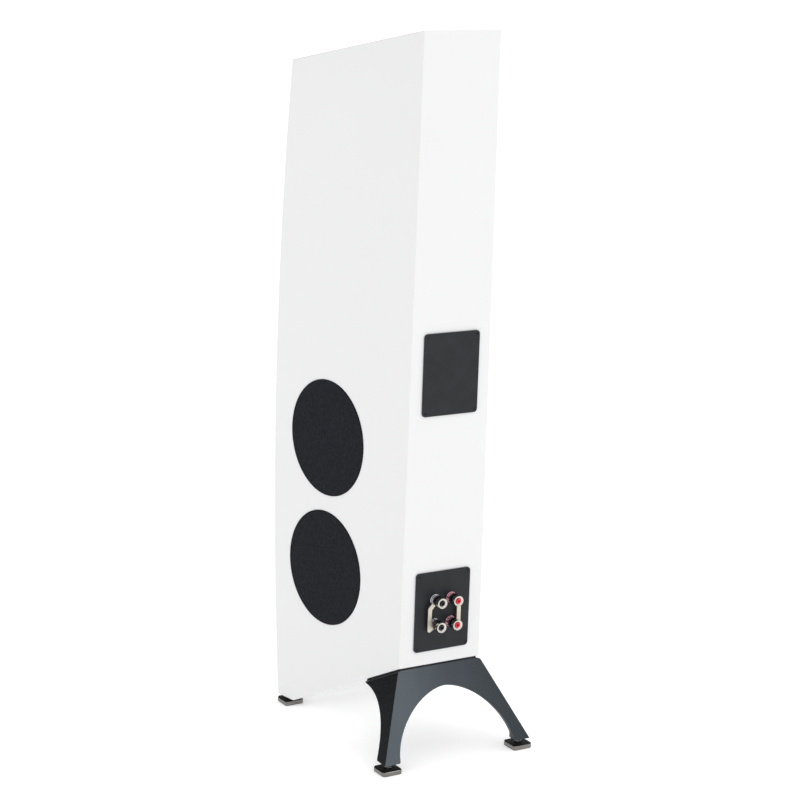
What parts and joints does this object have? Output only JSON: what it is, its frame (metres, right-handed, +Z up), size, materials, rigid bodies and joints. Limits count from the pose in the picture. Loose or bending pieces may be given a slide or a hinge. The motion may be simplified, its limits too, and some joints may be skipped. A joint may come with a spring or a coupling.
{
  "type": "floorstanding speaker",
  "caption": "Tapering floorstanding speaker with a curved front, side-firing woofers, a rear terminal plate and an arched rear stand on square feet.",
  "frame": {"origin": "on the floor, at the centre of the footprint", "axes": "+Z up, the curved front faces -Y, the woofers fire to +X"},
  "size_m": [0.29, 0.4235, 1.2],
  "materials": {
    "white_lacquer": "high-gloss white lacquer over fibreboard",
    "mdf": "raw fibreboard",
    "wadding": "bonded polyester wadding",
    "basket": "black powder-coated die casting",
    "magnet_steel": "ferrite and dark steel",
    "cone": "coated pulp",
    "copper": "enamelled copper wire",
    "surround_rubber": "matte rubber",
    "spider_cloth": "resin-dipped cloth",
    "grille_plastic": "moulded black",
    "grille_cloth": "stretched acoustic knit",
    "tweeter_metal": "black anodised",
    "dome": "coated textile",
    "black_plate": "fine-textured black moulding",
    "black_steel": "black oxide",
    "circuit_board": "solder-masked laminate",
    "crossover_parts": "wound coils and film capacitors",
    "post_insulator": "moulded insulator",
    "post_metal": "rhodium-plated",
    "jumper_metal": "pale plated brass strap",
    "stand_metal": "dark blue-grey satin anodised",
    "gasket_rubber": "matte",
    "insert_brass": "turned",
    "pad_metal": "polished edge, black top",
    "spindle_steel": "turned"
  },
  "bodies": {
    "cabinet": {"side_panel_left": "white_lacquer", "side_panel_right": "white_lacquer", "back_panel": "white_lacquer", "top_panel": "white_lacquer", "bottom_panel": "white_lacquer", "front_baffle": "white_lacquer", "brace_lower": "mdf", "brace_upper": "mdf", "chamber_divider": "mdf", "damping_pad": "wadding", "woofer_upper_frame": "basket", "woofer_upper_magnet": "magnet_steel", "woofer_upper_surround": "surround_rubber", "woofer_lower_frame": "basket", "woofer_lower_magnet": "magnet_steel", "woofer_lower_surround": "surround_rubber", "woofer_spiders": "spider_cloth", "grille_upper_ring": "grille_plastic", "grille_upper_cloth": "grille_cloth", "grille_lower_ring": "grille_plastic", "grille_lower_cloth": "grille_cloth", "midrange_frame": "basket", "midrange_magnet": "magnet_steel", "midrange_surround": "surround_rubber", "tweeter_plate": "tweeter_metal", "tweeter_motor": "magnet_steel", "cover_plate": "black_plate", "terminal_plate": "black_plate", "plate_screws": "black_steel", "crossover_board": "circuit_board", "crossover_parts": "crossover_parts", "post_studs": "post_metal", "post_collars": "post_insulator", "jumpers": "jumper_metal", "stand": "stand_metal", "stand_gasket": "gasket_rubber", "stand_bolts": "black_steel", "foot_inserts": "insert_brass"},
    "woofer_upper": {"woofer_upper_cone": "cone", "woofer_upper_coil": "copper"},
    "woofer_lower": {"woofer_lower_cone": "cone", "woofer_lower_coil": "copper"},
    "midrange": {"midrange_cone": "cone"},
    "tweeter": {"tweeter_dome": "dome"},
    "clamp_black_upper": {"washer_black_upper": "post_metal"},
    "knob_black_upper": {"knob_black_upper": "post_metal"},
    "clamp_black_lower": {"washer_black_lower": "post_metal"},
    "knob_black_lower": {"knob_black_lower": "post_metal"},
    "clamp_red_upper": {"washer_red_upper": "post_metal"},
    "knob_red_upper": {"knob_red_upper": "post_metal"},
    "clamp_red_lower": {"washer_red_lower": "post_metal"},
    "knob_red_lower": {"knob_red_lower": "post_metal"},
    "foot_rear_right": {"pad_rear_right": "pad_metal"},
    "spindle_rear_right": {"spindle_rear_right": "spindle_steel"},
    "foot_rear_left": {"pad_rear_left": "pad_metal"},
    "spindle_rear_left": {"spindle_rear_left": "spindle_steel"},
    "foot_front_right": {"pad_front_right": "pad_metal"},
    "spindle_front_right": {"spindle_front_right": "spindle_steel"},
    "foot_front_left": {"pad_front_left": "pad_metal"},
    "spindle_front_left": {"spindle_front_left": "spindle_steel"}
  },
  "joints": [
    {"name": "woofer_upper_drive", "type": "slide", "parent": "cabinet", "child": "woofer_upper", "axis": [0.9893, 0.1461, 0.002], "range_m": [-0.005, 0.005], "stiffness_N_per_m": 1500},
    {"name": "woofer_lower_drive", "type": "slide", "parent": "cabinet", "child": "woofer_lower", "axis": [0.9893, 0.1461, 0.002], "range_m": [-0.005, 0.005], "stiffness_N_per_m": 1500},
    {"name": "midrange_drive", "type": "slide", "parent": "cabinet", "child": "midrange", "axis": [0, -0.9969, 0.0783], "range_m": [-0.002, 0.002], "stiffness_N_per_m": 1500},
    {"name": "tweeter_drive", "type": "slide", "parent": "cabinet", "child": "tweeter", "axis": [0, -0.995, 0.1003], "range_m": [-0.0004, 0.0004], "stiffness_N_per_m": 2000},
    {"name": "clamp_black_upper_slide", "type": "slide", "parent": "cabinet", "child": "clamp_black_upper", "axis": [0, 0.9994, -0.0349], "range_m": [0, 0.006]},
    {"name": "knob_black_upper_turn", "type": "hinge", "parent": "clamp_black_upper", "child": "knob_black_upper", "pos_m": [0.0155, 0.16622, 0.26729], "axis": [0, 0.9994, -0.0349], "range_deg": [0, 2700]},
    {"name": "clamp_black_lower_slide", "type": "slide", "parent": "cabinet", "child": "clamp_black_lower", "axis": [0, 0.9994, -0.0349], "range_m": [0, 0.006]},
    {"name": "knob_black_lower_turn", "type": "hinge", "parent": "clamp_black_lower", "child": "knob_black_lower", "pos_m": [0.0155, 0.16475, 0.22531], "axis": [0, 0.9994, -0.0349], "range_deg": [0, 2700]},
    {"name": "clamp_red_upper_slide", "type": "slide", "parent": "cabinet", "child": "clamp_red_upper", "axis": [0, 0.9994, -0.0349], "range_m": [0, 0.006]},
    {"name": "knob_red_upper_turn", "type": "hinge", "parent": "clamp_red_upper", "child": "knob_red_upper", "pos_m": [-0.0155, 0.16622, 0.26729], "axis": [0, 0.9994, -0.0349], "range_deg": [0, 2700]},
    {"name": "clamp_red_lower_slide", "type": "slide", "parent": "cabinet", "child": "clamp_red_lower", "axis": [0, 0.9994, -0.0349], "range_m": [0, 0.006]},
    {"name": "knob_red_lower_turn", "type": "hinge", "parent": "clamp_red_lower", "child": "knob_red_lower", "pos_m": [-0.0155, 0.16475, 0.22531], "axis": [0, 0.9994, -0.0349], "range_deg": [0, 2700]},
    {"name": "foot_rear_right_height", "type": "slide", "parent": "cabinet", "child": "foot_rear_right", "axis": [0, 0, -1], "range_m": [0, 0.006]},
    {"name": "spindle_rear_right_turn", "type": "hinge", "parent": "foot_rear_right", "child": "spindle_rear_right", "pos_m": [0.127, 0.19375, 0.01], "axis": [0, 0, -1], "range_deg": [0, 1440]},
    {"name": "foot_rear_left_height", "type": "slide", "parent": "cabinet", "child": "foot_rear_left", "axis": [0, 0, -1], "range_m": [0, 0.006]},
    {"name": "spindle_rear_left_turn", "type": "hinge", "parent": "foot_rear_left", "child": "spindle_rear_left", "pos_m": [-0.127, 0.19375, 0.01], "axis": [0, 0, -1], "range_deg": [0, 1440]},
    {"name": "foot_front_right_height", "type": "slide", "parent": "cabinet", "child": "foot_front_right", "axis": [0, 0, -1], "range_m": [0, 0.006]},
    {"name": "spindle_front_right_turn", "type": "hinge", "parent": "foot_front_right", "child": "spindle_front_right", "pos_m": [0.112, -0.18175, 0.01], "axis": [0, 0, -1], "range_deg": [0, 1440]},
    {"name": "foot_front_left_height", "type": "slide", "parent": "cabinet", "child": "foot_front_left", "axis": [0, 0, -1], "range_m": [0, 0.006]},
    {"name": "spindle_front_left_turn", "type": "hinge", "parent": "foot_front_left", "child": "spindle_front_left", "pos_m": [-0.112, -0.18175, 0.01], "axis": [0, 0, -1], "range_deg": [0, 1440]}
  ],
  "couplings": [
    {"joint": "knob_black_upper_turn", "follows": "clamp_black_upper_slide", "rad_per_m": 7854},
    {"joint": "knob_black_lower_turn", "follows": "clamp_black_lower_slide", "rad_per_m": 7854},
    {"joint": "knob_red_upper_turn", "follows": "clamp_red_upper_slide", "rad_per_m": 7854},
    {"joint": "knob_red_lower_turn", "follows": "clamp_red_lower_slide", "rad_per_m": 7854},
    {"joint": "spindle_rear_right_turn", "follows": "foot_rear_right_height", "rad_per_m": 4188.8},
    {"joint": "spindle_rear_left_turn", "follows": "foot_rear_left_height", "rad_per_m": 4188.8},
    {"joint": "spindle_front_right_turn", "follows": "foot_front_right_height", "rad_per_m": 4188.8},
    {"joint": "spindle_front_left_turn", "follows": "foot_front_left_height", "rad_per_m": 4188.8}
  ]
}
